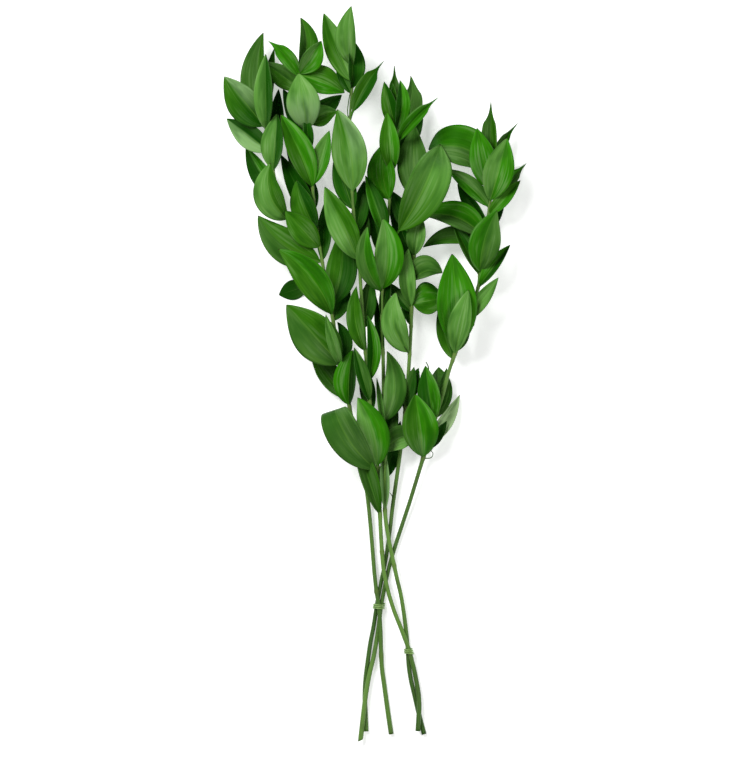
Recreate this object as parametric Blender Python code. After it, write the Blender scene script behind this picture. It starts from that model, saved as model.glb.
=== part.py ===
# A bunch of five leafy ruscus stems lying flat, held by two thin wire ties
import math

import bmesh
import bpy
import numpy as np
from mathutils import Vector

MM = 0.001
GAP = 0.3
LEAF_THICK = 0.8
LEAF_ARCH = 3.0
LEAF_FOLD = 1.5
CROSSWAYS = 2
LENGTHWAYS = 6
WIDEST_AT = 0.85
FULLNESS = 0.78
TIP_NARROWING = 0.18
STALK_SHARE = 0.03
PETIOLE_HALF = 1.0
TIP_HALF = 0.45
EDGE_CURVE = 1.25
LEAST_HALF_SHARE = 0.15
LIFTED_BY = 0.75
TURN_FROM = 0.5
TURN_OVER = 0.3
TURN_STEPS = 60
STEM_ROUNDNESS = 2
SIDE_SHOOT_SHARE = 0.9
WIRE_RADIUS = 0.6
WIRE_ROUNDNESS = 1
TIE_TURNS = 3
TIE_TURN_STEPS = 12
TIE_PITCH = 1.5
TIE_SLACK = 1.08
SHARP_ANGLE = 35
CENTRE_X = 2.0
CENTRE_Y = 325.2

# Stem centre lines in millimetres: x, y and height, from the cut end to the tip
ROUTES = {
    "leafy_stem_a": [
        (15.8, 6.0, 2.6), (12.3, 30.0, 2.6), (9.6, 50.0, 3.0), (7.7, 64.0, 4.2), (6.8, 80.0, 5.6),
        (6.4, 95.0, 6.9), (5.6, 110.0, 7.6), (4.9, 120.0, 7.6), (2.7, 133.0, 7.4), (0.8, 150.0, 6.2),
        (-0.4, 165.0, 5.2), (-3.4, 200.0, 6.5), (-6.8, 228.0, 8.5), (-11.5, 250.0, 10.5),
        (-19.8, 290.0, 14.0), (-31.0, 347.0, 18.0), (-38.9, 391.0, 20.0), (-46.9, 434.0, 22.0),
        (-51.3, 464.0, 23.0), (-54.6, 500.0, 24.0), (-56.8, 530.0, 25.0), (-60.5, 558.0, 26.0),
        (-66.0, 593.0, 27.0)],
    "leafy_stem_b": [
        (39.4, 9.0, 6.9), (40.2, 22.0, 7.4), (40.6, 32.0, 7.0), (40.0, 42.0, 6.2), (38.2, 53.0, 5.4),
        (36.2, 63.0, 5.4), (34.0, 72.0, 6.4), (32.0, 80.0, 7.6), (28.4, 90.0, 8.4), (24.2, 101.0, 8.6),
        (18.6, 115.0, 8.7), (13.9, 130.0, 8.8), (11.2, 141.0, 8.9), (9.0, 153.0, 8.9), (7.6, 168.0, 8.8),
        (6.3, 190.0, 9.6), (5.6, 208.0, 10.6), (4.4, 235.0, 13.5), (1.6, 262.0, 19.0),
        (-3.5, 303.0, 27.0), (-7.1, 347.0, 32.0), (-10.4, 391.0, 34.0), (-13.2, 432.0, 35.0),
        (-17.7, 471.0, 36.0), (-20.4, 520.0, 37.0), (-20.6, 553.0, 37.5), (-18.4, 585.0, 38.0),
        (-18.0, 600.0, 38.5)],
    "leafy_stem_c": [
        (45.0, 6.0, 2.5), (42.6, 15.0, 2.6), (40.4, 24.0, 2.6), (38.3, 33.0, 2.6), (36.2, 42.0, 2.7),
        (33.6, 53.0, 3.0), (31.9, 63.0, 3.2), (31.0, 72.0, 3.5), (30.6, 80.0, 3.7), (29.8, 90.0, 4.2),
        (28.6, 101.0, 5.0), (26.8, 115.0, 6.2), (24.3, 130.0, 7.4), (21.2, 143.0, 8.4),
        (18.4, 156.0, 9.0), (15.0, 172.0, 9.2), (12.4, 186.0, 9.6), (10.4, 202.0, 10.2),
        (10.2, 218.0, 10.8), (10.6, 240.0, 12.5), (9.2, 285.0, 18.0), (8.8, 330.0, 22.0),
        (8.0, 365.0, 24.0), (7.6, 400.0, 25.0), (11.5, 446.0, 26.0), (14.2, 478.0, 27.0),
        (16.8, 508.0, 28.0), (20.4, 540.0, 29.0), (22.4, 556.0, 30.0)],
    "leafy_stem_d": [
        (-6.4, 8.5, 2.6), (-7.1, 25.0, 2.4), (-7.6, 40.0, 2.4), (-6.9, 55.0, 2.5), (-5.1, 70.0, 2.8),
        (-2.7, 87.0, 3.1), (0.4, 103.0, 3.4), (2.9, 120.0, 3.6), (4.9, 131.0, 3.6), (7.0, 142.0, 3.5),
        (9.2, 152.0, 3.4), (11.2, 163.0, 3.4), (13.0, 175.0, 3.6), (15.0, 190.0, 4.2),
        (17.3, 210.0, 5.4), (23.6, 255.0, 9.5), (29.2, 303.0, 15.0), (32.8, 356.0, 19.0),
        (34.5, 400.0, 21.0), (36.8, 440.0, 22.0), (40.7, 480.0, 23.0), (41.8, 500.0, 23.5)],
    "leafy_stem_e": [
        (-11.5, 0.6, 6.2), (-10.0, 14.0, 6.6), (-8.3, 29.0, 6.9), (-6.5, 43.0, 6.6), (-3.4, 60.0, 5.6),
        (-0.2, 73.0, 4.8), (2.3, 86.0, 4.2), (4.8, 103.0, 3.7), (6.9, 120.0, 3.6), (8.9, 131.0, 3.6),
        (11.1, 142.0, 3.5), (13.4, 152.0, 3.4), (16.0, 162.0, 3.6), (20.6, 177.0, 4.2),
        (28.2, 200.0, 5.6), (33.4, 216.0, 7.0), (44.0, 251.0, 11.0), (54.2, 285.0, 15.0),
        (61.0, 306.0, 17.0), (66.6, 327.0, 19.0), (72.0, 343.0, 20.0), (79.0, 362.0, 21.0),
        (86.0, 382.0, 22.0), (92.6, 402.0, 23.0), (94.6, 418.0, 23.5), (98.2, 440.0, 24.0),
        (101.0, 460.0, 24.5), (103.2, 480.0, 25.0), (104.4, 506.0, 25.5)],
}
SIDE_ROUTE = [
    (-47.4, 437.0, 22.0), (-60.0, 449.0, 21.0), (-73.0, 459.0, 20.0), (-82.0, 476.0, 20.0),
    (-88.0, 503.0, 21.0), (-92.6, 528.0, 22.0), (-97.0, 552.0, 23.0)]

# Radius in millimetres against height along the stem
THICKNESS = [(0.0, 2.15), (60.0, 1.95), (120.0, 1.75), (250.0, 1.7), (400.0, 1.45), (520.0, 1.15), (610.0, 0.85)]

# Each leaf: where it leaves the stem (y), tip x, tip y, half width on its left and on its
# right as seen from above, sideways bow, how far its tip lies above its root, and where
# needed how many degrees its far part turns under and the share of it that is stalk
LEAVES = {
    "leafy_stem_a": [
        (592, -64.5, 641, 6, 11, -6, 1), (591, -46, 620, 6, 12, 0, 11),
        (590, -25.5, 574.5, 14, 11, 2, 1), (588, -93, 620, 7, 7, -3, 9), (577, -97, 602, 10, 9, 0, -9),
        (541, -66, 591, 15, 15, 0, 26), (556, -28, 573, 4, 12, 0, -9), (548, -32, 558, 9, 10, 2, -1),
        (543, -74, 568, 5, 6, 0, 1), (530, -80, 578, 8, 9, 0, -9), (522, -60, 556, 4, 5, 0, 7),
        (490, -82, 555, 10, 13, -2, 13), (492, -39, 541, 9, 8, 0, 7), (452, -68, 497, 13, 9, 2, 7),
        (437, -78, 470, 12, 11, 0, 9), (425, -102, 466, 15, 16, 8, 1), (377, -84, 436, 15, 13, -7, 20),
        (410, -84, 396, 9, 9, 0, -26, 40, 0.35), (333, -77, 387, 20, 19, 0, 11),
        (330, -42, 378, 6, 4, 0, 22), (386, -30, 453, 14, 14, -6, 1), (336, -32, 372, 5, 7, -5, -9),
        (303, -56, 348, 8, 12, 2, -26), (297, -18, 347, 14, 6, 2, 11), (455, -82, 520, 9, 9, 0, -9),
        (480, -78, 540, 8, 8, 0, -23), (470, -64, 510, 8, 8, 0, -19), (425, -43, 478, 6, 7, 0, -9),
        (372, -22, 408, 8, 8, 0, -9)],
    "side": [
        (544, -132, 589, 17, 12, 0, 1), (548, -97.5, 628, 16, 6, 5, -3), (540, -95, 608, 11, 6, 0, 24),
        (522, -130, 552, 11, 10, 0, -9), (505, -85, 556, 13, 7, 0, 13), (462, -91, 512, 15, 11, 9, 20),
        (549, -88, 614, 7, 4, 0, -15), (480, -113, 528, 10, 8, 2, -26), (515, -84, 578, 7, 8, 0, -5)],
    "leafy_stem_b": [
        (597, -19.5, 650, 14, 4, 1, 20), (583, -44, 645, 12, 9, 0, -13), (577, -19, 622, 3, 12, 0, 1),
        (551, 9, 602, 7, 7, 3, 1), (486, -32, 559, 17, 14, -5, 20), (425, -43, 491, 13, 12, 0, 11),
        (470, -34, 520, 10, 9, 0, -9), (450, -8, 497, 7, 8, 0, -13), (345, -15, 403, 8, 7, 5, 11),
        (318, -6, 378, 5, 7, -5, 11), (301, -17, 349, 5, 7, 0, 11), (243, -14, 305, 14, 14, -5, 22),
        (240, -34, 294, 17, 14, 5, 37, 100), (200, -18, 275, 6.5, 9, 0, 5),
        (573, -33, 600, 5, 6, 0, -9), (428, -6, 470, 7, 7, 0, -9), (290, -9, 335, 7, 7, 0, -9),
        (365, -2, 412, 8, 8, 0, -9)],
    "leafy_stem_c": [
        (545, 18.5, 599, 6, 4, 0, -13), (540, 9.5, 584, 8, 6, 0, 7), (541, 23.5, 585, 5, 8, -3, 15),
        (546, 17, 583, 3, 3, 0, -1), (539, 33, 590, 8, 11, -6, -9), (529, 57.5, 570, 6, 5, 2, 18),
        (520, 44, 552, 8, 9, 0, -11), (503, 12, 557, 9, 9, 0, 14), (479, 10, 530, 14, 11, 4, 1),
        (447, -7, 501, 6, 9, 0, 7), (400, 8.5, 463, 12, 14, -5, 20), (398, -5, 456, 9, 8, 8, 26),
        (283, 12, 346, 9, 11, -8, 3), (204, 9, 262, 4, 4.5, 0, -3), (232, 24, 284, 6, 8, 0, -19),
        (256, 38, 270, 12, 9, 5, 3, 60), (276, 3, 322, 2.5, 2.5, 0, 1), (345, 2, 395, 4, 3, 0, -9),
        (290, 28, 325, 3, 5, 0, -9), (436, 59, 529, 15, 21, -5, 32, 60, 0.17),
        (425, -4, 480, 6, 6, 0, -9), (262, 20, 302, 7, 7, 0, -9), (375, 13, 415, 5, 5, 0, -5)],
    "leafy_stem_d": [
        (478, 37, 545, 15, 13, 3, 3), (430, 42, 467, 10, 7, 0, 11), (408, 61, 415, 15, 5, 5, 11),
        (388, 63, 393, 17, 12, 0, 1, 30), (344, 20, 398, 11.5, 11, 8, 20), (380, 11, 408, 5, 6, 0, -9),
        (368, 24, 402, 4, 4, 0, -13), (298, 40, 331, 7, 6, 0, -3), (292, 27, 323, 3, 2.5, 0, -9),
        (448, 16, 488, 9, 8, 0, -9), (425, 14, 480, 7, 6, 0, -15), (405, 25, 455, 7, 6, 0, -13),
        (384, 31, 437, 7, 8, 3, 11), (295, 36, 332, 6, 6, 0, 5)],
    "leafy_stem_e": [
        (500, 104, 567, 9, 5, 0, 1), (488, 91.5, 543, 13, 11, 0, 11), (500, 128, 548, 5, 4, 4, -15),
        (478, 118, 534, 13, 14, 0, 20), (480, 136, 513, 6, 6, 0, -26), (473, 65, 507, 6, 9, -2, 1),
        (503, 49, 525, 16, 20, -12, -3, 60), (458, 74.5, 494, 8, 4, 0, -9),
        (445, 43, 466, 9, 15, -9, 1), (440, 44, 438, 6, 10, -8, -9), (415, 109, 470, 13, 15, 4, 20),
        (413, 69.5, 461, 4, 8, 0, 5), (402, 121, 440, 8, 4, 0, 1), (372, 110.5, 411, 7, 6, 0, 11),
        (348, 69.5, 432, 17, 19, -1, 17), (343, 84, 400, 12, 8, 0, 22), (345, 85, 374, 2.5, 6, 0, -9),
        (251, 37, 308, 15, 17, 0, 22), (283, 46, 333, 11, 9, 0, 15), (285, 58, 332, 8, 14, 0, -9, 50),
        (262, 76.5, 307, 6, 7, -2, -9), (258, 65, 284, 4, 6, 0, 3), (253, 57, 271, 2.5, 3, 0, -26),
        (450, 116, 475, 3, 4, 0, -26), (466, 130, 497, 7, 6, 0, 1), (338, 58, 385, 8, 8, 0, -9),
        (290, 65, 331, 4, 7, 0, -7)],
}
TIES = {
    "tie_left": (117.5, ["leafy_stem_a", "leafy_stem_d", "leafy_stem_e"]),
    "tie_right": (77.5, ["leafy_stem_b", "leafy_stem_c"]),
}
COLOURS = {
    "leafy_stem_a": (0.10, 0.28, 0.05), "leafy_stem_b": (0.14, 0.33, 0.07),
    "leafy_stem_c": (0.12, 0.30, 0.06), "leafy_stem_d": (0.09, 0.26, 0.05),
    "leafy_stem_e": (0.13, 0.31, 0.06), "tie_left": (0.35, 0.50, 0.20),
    "tie_right": (0.35, 0.50, 0.20)}


def on_route(route, y):
    ys = [point[1] for point in route]
    x = float(np.interp(y, ys, [point[0] for point in route]))
    z = float(np.interp(y, ys, [point[2] for point in route]))
    return x, z


def stem_radius(y):
    return float(np.interp(y, [row[0] for row in THICKNESS], [row[1] for row in THICKNESS]))


def in_metres(x, y, z):
    return Vector(((x - CENTRE_X) * MM, (y - CENTRE_Y) * MM, z * MM))


def leaf_width(v, stalk):
    """Share of the full half width at a share of the leaf's length."""
    if v <= stalk:
        return 0.0
    along = (v - stalk) / (1.0 - stalk)
    return math.sin(math.pi * along ** WIDEST_AT) ** FULLNESS * (1 - TIP_NARROWING * along ** 6)


def turned_under(degrees):
    """Forward and downward travel along a leaf whose far part turns under."""
    forward = [0.0]
    down = [0.0]
    for step in range(TURN_STEPS):
        v = (step + 0.5) / TURN_STEPS
        angle = math.radians(degrees) * min(max((v - TURN_FROM) / TURN_OVER, 0.0), 1.0)
        forward.append(forward[-1] + math.cos(angle) / TURN_STEPS)
        down.append(down[-1] + math.sin(angle) / TURN_STEPS)
    return forward, down, max(forward)


class Leaf:
    def __init__(self, route, row):
        self.base_x, self.base_z = on_route(route, row[0])
        self.base_y = float(row[0])
        self.left, self.right, self.bow, self.lift = row[3:7]
        turn = row[7] if len(row) > 7 else 0
        self.stalk = row[8] if len(row) > 8 else STALK_SHARE
        self.chord = Vector((row[1] - self.base_x, row[2] - self.base_y))
        self.half = max(self.left, self.right, LEAST_HALF_SHARE * self.chord.length)
        self.forward, self.down, self.reach = turned_under(turn)

    def place(self, u, v):
        """A point of the blade: u runs from its right edge (-1) to its left (1), v from root to tip."""
        shares = np.linspace(0, 1, len(self.forward))
        share = float(np.interp(v, shares, self.forward)) / self.reach
        drop = float(np.interp(v, shares, self.down)) / self.reach
        along = self.chord.normalized()
        sideways = Vector((-along.y, along.x))
        slope = self.bow * 4 * (1 - 2 * share) / self.chord.length
        across = (sideways - along * slope).normalized()
        middle = Vector((self.base_x, self.base_y)) + self.chord * share
        middle += sideways * (self.bow * 4 * share * (1 - share))
        seen = self.left if u > 0 else self.right
        raised = math.sqrt(max(self.half ** 2 - seen ** 2, 0.0))
        width = leaf_width(v, self.stalk)
        least = PETIOLE_HALF * (1 - v) + TIP_HALF * v
        out = max(seen * width, least) * abs(u)
        spot = middle + across * (out if u > 0 else -out)
        ease = min(v / LIFTED_BY, 1.0)
        height = self.base_z + self.lift * ease * (2 - ease) + LEAF_ARCH * 4 * v * (1 - v)
        height += width * (raised * abs(u) ** EDGE_CURVE + LEAF_FOLD * abs(u))
        height -= drop * self.chord.length
        return Vector((spot.x, spot.y, max(height, LEAF_THICK / 2)))

    def blade(self, thickness):
        """The leaf as one closed thin body in metres."""
        shape = bmesh.new()
        bmesh.ops.create_grid(shape, x_segments=CROSSWAYS, y_segments=LENGTHWAYS, size=1.0)
        for vertex in shape.verts:
            vertex.co = self.place(-vertex.co.x, (vertex.co.y + 1) / 2)
        bmesh.ops.triangulate(shape, faces=shape.faces)
        shape.normal_update()
        for vertex in shape.verts:
            vertex.co -= vertex.normal * (thickness / 2)
        bmesh.ops.solidify(shape, geom=shape.faces, thickness=-thickness)
        for vertex in shape.verts:
            vertex.co = in_metres(vertex.co.x, vertex.co.y, max(vertex.co.z, 0.0))
        bmesh.ops.recalc_face_normals(shape, faces=shape.faces)
        return shape


def material_for(name):
    material = bpy.data.materials.new(name)
    material.use_nodes = True
    shader = material.node_tree.nodes["Principled BSDF"]
    shader.inputs["Base Color"].default_value = (*COLOURS[name], 1.0)
    shader.inputs["Roughness"].default_value = 0.45
    return material


def tube(name, points, radii, roundness):
    """A round rod along points in millimetres, as a mesh object in metres."""
    curve = bpy.data.curves.new(name, "CURVE")
    curve.dimensions = "3D"
    curve.bevel_depth = MM
    curve.bevel_resolution = roundness
    curve.use_fill_caps = True
    spline = curve.splines.new("POLY")
    spline.points.add(len(points) - 1)
    for index, (point, radius) in enumerate(zip(points, radii)):
        spline.points[index].co = (*in_metres(*point), 1.0)
        spline.points[index].radius = radius
    rod = bpy.data.objects.new(name + "_rod", curve)
    bpy.context.scene.collection.objects.link(rod)
    bpy.context.view_layer.update()
    mesh = bpy.data.meshes.new_from_object(rod.evaluated_get(bpy.context.evaluated_depsgraph_get()))
    bpy.data.objects.remove(rod)
    bpy.data.curves.remove(curve)
    shape = bmesh.new()
    shape.from_mesh(mesh)
    bmesh.ops.remove_doubles(shape, verts=shape.verts, dist=1e-6)
    bmesh.ops.recalc_face_normals(shape, faces=shape.faces)
    shape.to_mesh(mesh)
    shape.free()
    mesh.name = name
    solid = bpy.data.objects.new(name, mesh)
    bpy.context.scene.collection.objects.link(solid)
    return solid


def stem_rod(name, route, share=1.0):
    """The stem itself, thinning towards its tip."""
    return tube(name, route, [stem_radius(point[1]) * share for point in route], STEM_ROUNDNESS)


def leaf_object(name, leaf):
    shape = leaf.blade(LEAF_THICK)
    mesh = bpy.data.meshes.new(name)
    shape.to_mesh(mesh)
    shape.free()
    blade = bpy.data.objects.new(name, mesh)
    bpy.context.scene.collection.objects.link(blade)
    return blade


def fuse(solid, parts):
    """One Boolean union of the stem with everything on it."""
    group = bpy.data.collections.new(solid.name + "_parts")
    bpy.context.scene.collection.children.link(group)
    for part in parts:
        bpy.context.scene.collection.objects.unlink(part)
        group.objects.link(part)
    union = solid.modifiers.new("fused", "BOOLEAN")
    union.operation = "UNION"
    union.operand_type = "COLLECTION"
    union.collection = group
    union.solver = "MANIFOLD"
    bpy.context.view_layer.update()
    mesh = bpy.data.meshes.new_from_object(solid.evaluated_get(bpy.context.evaluated_depsgraph_get()))
    solid.modifiers.remove(union)
    old = solid.data
    solid.data = mesh
    bpy.data.meshes.remove(old)
    mesh.name = solid.name
    for part in list(group.objects):
        bpy.data.objects.remove(part)
    bpy.data.collections.remove(group)


def wind_tie(name, start, held):
    """A thin wire wound round the stems it holds, just clear of them."""
    points = []
    for step in range(TIE_TURNS * TIE_TURN_STEPS + 1):
        angle = 2 * math.pi * step / TIE_TURN_STEPS
        y = start + TIE_PITCH * step / TIE_TURN_STEPS
        facing = Vector((math.cos(angle), math.sin(angle)))
        reach = WIRE_RADIUS + GAP + stem_radius(y) * TIE_SLACK
        centres = [Vector(on_route(ROUTES[stem], y)) for stem in held]
        outer = max(centres, key=lambda centre: centre.dot(facing))
        spot = outer + facing * reach
        points.append((spot.x, y, spot.y))
    return tube(name, points, [WIRE_RADIUS] * len(points), WIRE_ROUNDNESS)


def finish(solid):
    solid.data.materials.clear()
    solid.data.materials.append(material_for(solid.name))
    solid.data.shade_smooth()
    solid.data.set_sharp_from_angle(angle=math.radians(SHARP_ANGLE))


def build():
    for thing in list(bpy.data.objects):
        bpy.data.objects.remove(thing)
    for name, route in ROUTES.items():
        rows = [(route, row) for row in LEAVES[name]]
        parts = []
        if name == "leafy_stem_a":
            rows += [(SIDE_ROUTE, row) for row in LEAVES["side"]]
            parts.append(stem_rod("side", SIDE_ROUTE, SIDE_SHOOT_SHARE))
        solid = stem_rod(name, route)
        for number, (carrier, row) in enumerate(rows):
            parts.append(leaf_object(f"{name}_leaf_{number}", Leaf(carrier, row)))
        fuse(solid, parts)
        finish(solid)
    for name, (start, held) in TIES.items():
        finish(wind_tie(name, start, held))


build()
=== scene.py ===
import math

import bmesh
import bpy
import numpy as np
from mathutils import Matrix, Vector, noise


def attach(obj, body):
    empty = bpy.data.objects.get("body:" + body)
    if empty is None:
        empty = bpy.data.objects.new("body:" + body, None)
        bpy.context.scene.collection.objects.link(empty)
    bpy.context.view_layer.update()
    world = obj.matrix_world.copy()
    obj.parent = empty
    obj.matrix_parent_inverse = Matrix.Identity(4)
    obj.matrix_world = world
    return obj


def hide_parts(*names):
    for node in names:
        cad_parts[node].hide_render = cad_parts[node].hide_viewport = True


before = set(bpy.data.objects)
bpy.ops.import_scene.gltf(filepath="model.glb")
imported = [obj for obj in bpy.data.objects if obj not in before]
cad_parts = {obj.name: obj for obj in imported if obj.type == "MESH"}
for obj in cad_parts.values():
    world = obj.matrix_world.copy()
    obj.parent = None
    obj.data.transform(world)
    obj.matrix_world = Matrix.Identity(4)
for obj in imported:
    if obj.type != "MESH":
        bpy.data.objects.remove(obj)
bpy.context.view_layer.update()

mm = 0.001
middleX = 2.0      # the place in the bunch, in millimetres, that lies at the model's origin
middleY = 325.2


# Shader values: a socket on which arithmetic can be written
class Flow:
    def __init__(self, tree, socket=None):
        self.tree = tree
        self.socket = socket

    def node(self, kind, settings, values, output=0):
        made = self.tree.nodes.new("ShaderNode" + kind)
        for name, value in settings.items():
            setattr(made, name, value)
        for name, value in values.items():
            if isinstance(value, Flow):
                self.tree.links.new(value.socket, made.inputs[name])
            else:
                made.inputs[name].default_value = value
        return Flow(self.tree, made.outputs[output])

    def also(self, name):
        # another output of the node that this value comes from
        return Flow(self.tree, self.socket.node.outputs[name])

    def maths(self, operation, first, second=0.0):
        return self.node("Math", {"operation": operation}, {0: first, 1: second})

    def __add__(self, other):
        return self.maths("ADD", self, other)

    def __radd__(self, other):
        return self.maths("ADD", other, self)

    def __sub__(self, other):
        return self.maths("SUBTRACT", self, other)

    def __rsub__(self, other):
        return self.maths("SUBTRACT", other, self)

    def __mul__(self, other):
        return self.maths("MULTIPLY", self, other)

    def __rmul__(self, other):
        return self.maths("MULTIPLY", other, self)

    def __pow__(self, other):
        return self.maths("POWER", self, other)

    def wave(self):
        # swings between 0 and 1, and is 1 at every whole turn
        return self.maths("COSINE", self) * 0.5 + 0.5

    def size(self):
        # distance from 0
        return self.maths("ABSOLUTE", self)

    def between(self, low, high):
        # 0 at low and 1 at high, whichever of them is greater
        ends = {"Value": self, "From Min": low, "From Max": high}
        return self.node("MapRange", {"interpolation_type": "SMOOTHSTEP"}, ends)

    def grain(self, scale=1.0, detail=2.0):
        # a noise pattern over this place
        return self.node("TexNoise", {}, {"Vector": self, "Scale": scale, "Detail": detail})

    def spot(self, x, y, z):
        return self.node("CombineXYZ", {}, {"X": x, "Y": y, "Z": z})


def mixed(share, one, two):
    # the first colour where the share is 0 and the second where it is 1
    # inputs 6 and 7 and output 2 of the node are its colours
    source = next(value for value in (share, one, two) if isinstance(value, Flow))
    made = source.node("Mix", {"data_type": "RGBA", "clamp_factor": True}, {0: share, 6: one, 7: two})
    return Flow(source.tree, made.socket.node.outputs[2])


def newMaterial(name):
    material = bpy.data.materials.new(name)
    material.use_nodes = True
    shader = material.node_tree.nodes["Principled BSDF"]
    return material, shader, Flow(material.node_tree)


def linkTo(shader, name, value):
    value.tree.links.new(value.socket, shader.inputs[name])


def raiseBy(shader, height, strength, depth):
    # fine relief on a surface; depth in metres
    bump = height.node("Bump", {}, {"Strength": strength, "Distance": depth, "Height": height})
    linkTo(shader, "Normal", bump)


# Shares say how much of a colour is mixed in, and ranges where a pattern is nought and full.
leafLook = {
    # patterns that follow the leaf: how many across half of it and along it, how far they shift from
    # leaf to leaf, and their detail
    "streaks": {"across": 9.0, "along": 1.6, "shifts": (37.0, 11.0), "detail": 3.0},
    "fibres": {"across": 34.0, "along": 3.5, "shifts": (71.0, 5.0), "detail": 2.0},
    "clouds": {"across": 1.3, "along": 1.9, "shifts": (19.0, 7.0), "detail": 2.0},
    "warps": {"across": 2.3, "shifts": (51.0, 13.0), "detail": 1.0},
    "driftGrain": 42.0,         # patterns in the solid, in grains a metre
    "fineGrain": 1500.0,
    "drift": 0.10,              # how far drift and warps bend the veins
    "warp": 0.7,
    "veins": 5,                 # from one edge to the other
    "veinSharpness": 12.0,
    "veinShare": 0.08,
    "veinAtStalk": 0.22,        # added near the stalk
    "fineVeins": 17,
    "fineVeinSharpness": 3.0,
    "fineVeinShare": 0.06,
    "veinsOnDark": 0.35,        # how much of them shows on the darkest leaves
    "veinColour": (0.15, 0.33, 0.03, 1),
    "threadRange": (0.45, 0.7),
    "threadShare": 0.10,
    "threadAtStalk": 0.12,
    "stalkRange": (0.7, 0.05),  # along the leaf, where it is far from the stalk and near it
    "lightRange": (0.02, 0.26),  # the green of the darkest and the lightest leaves
    "streakInPaintedSheen": 0.45,      # the rest of the painted sheen comes from clouds
    # painted sheen: a paler colour in streaks and clouds, standing for the lamps' soft reflection
    "paintedSheenRange": (0.49, 0.64),
    "paintedSheenOnDark": 0.15,
    "paintedSheenShare": 0.42,
    "paintedSheenColour": (0.26, 0.44, 0.16, 1),
    # painted shade: darker cloudy patches across each leaf
    "paintedShadeRange": (0.52, 0.32),
    "paintedShadeShare": 0.55,
    "paintedShadeColour": (0.006, 0.065, 0.001, 1),
    "midribRange": (0.012, 0.05),
    "midribShare": 0.16,
    "midribAtStalk": 0.3,
    "midribColour": (0.15, 0.33, 0.04, 1),
    "rimRange": (0.94, 1.0),
    "rimShare": 0.35,
    "rimColour": (0.02, 0.06, 0.004, 1),
    "underShare": 0.38,         # the duller lower side
    "underColour": (0.14, 0.25, 0.10, 1),
    "paintedDepthShadeRange": (0.040, 0.004),  # metres over the table, for painted shade on leaves low in the bunch
    "paintedDepthShadeShare": 0.8,
    "paintedDepthShadeColour": (0.004, 0.045, 0.001, 1),
    "tipRange": (0.965, 0.995),
    "tipShare": 0.92,
    "tipColour": (0.030, 0.022, 0.010, 1),
    "gloss": 0.10,
    "glossColour": (0.5, 0.8, 0.25, 1),
    "rough": {"all": 0.42, "cloud": 0.2, "fine": 0.10, "tip": 0.2, "under": 0.12},
    "relief": {"vein": 0.35, "fineVein": 0.12, "fibre": 0.3, "streak": 0.5, "fine": 0.25, "midrib": 0.9},
    "reliefStrength": 0.42,
    "reliefDepth": 0.00035,
}


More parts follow.
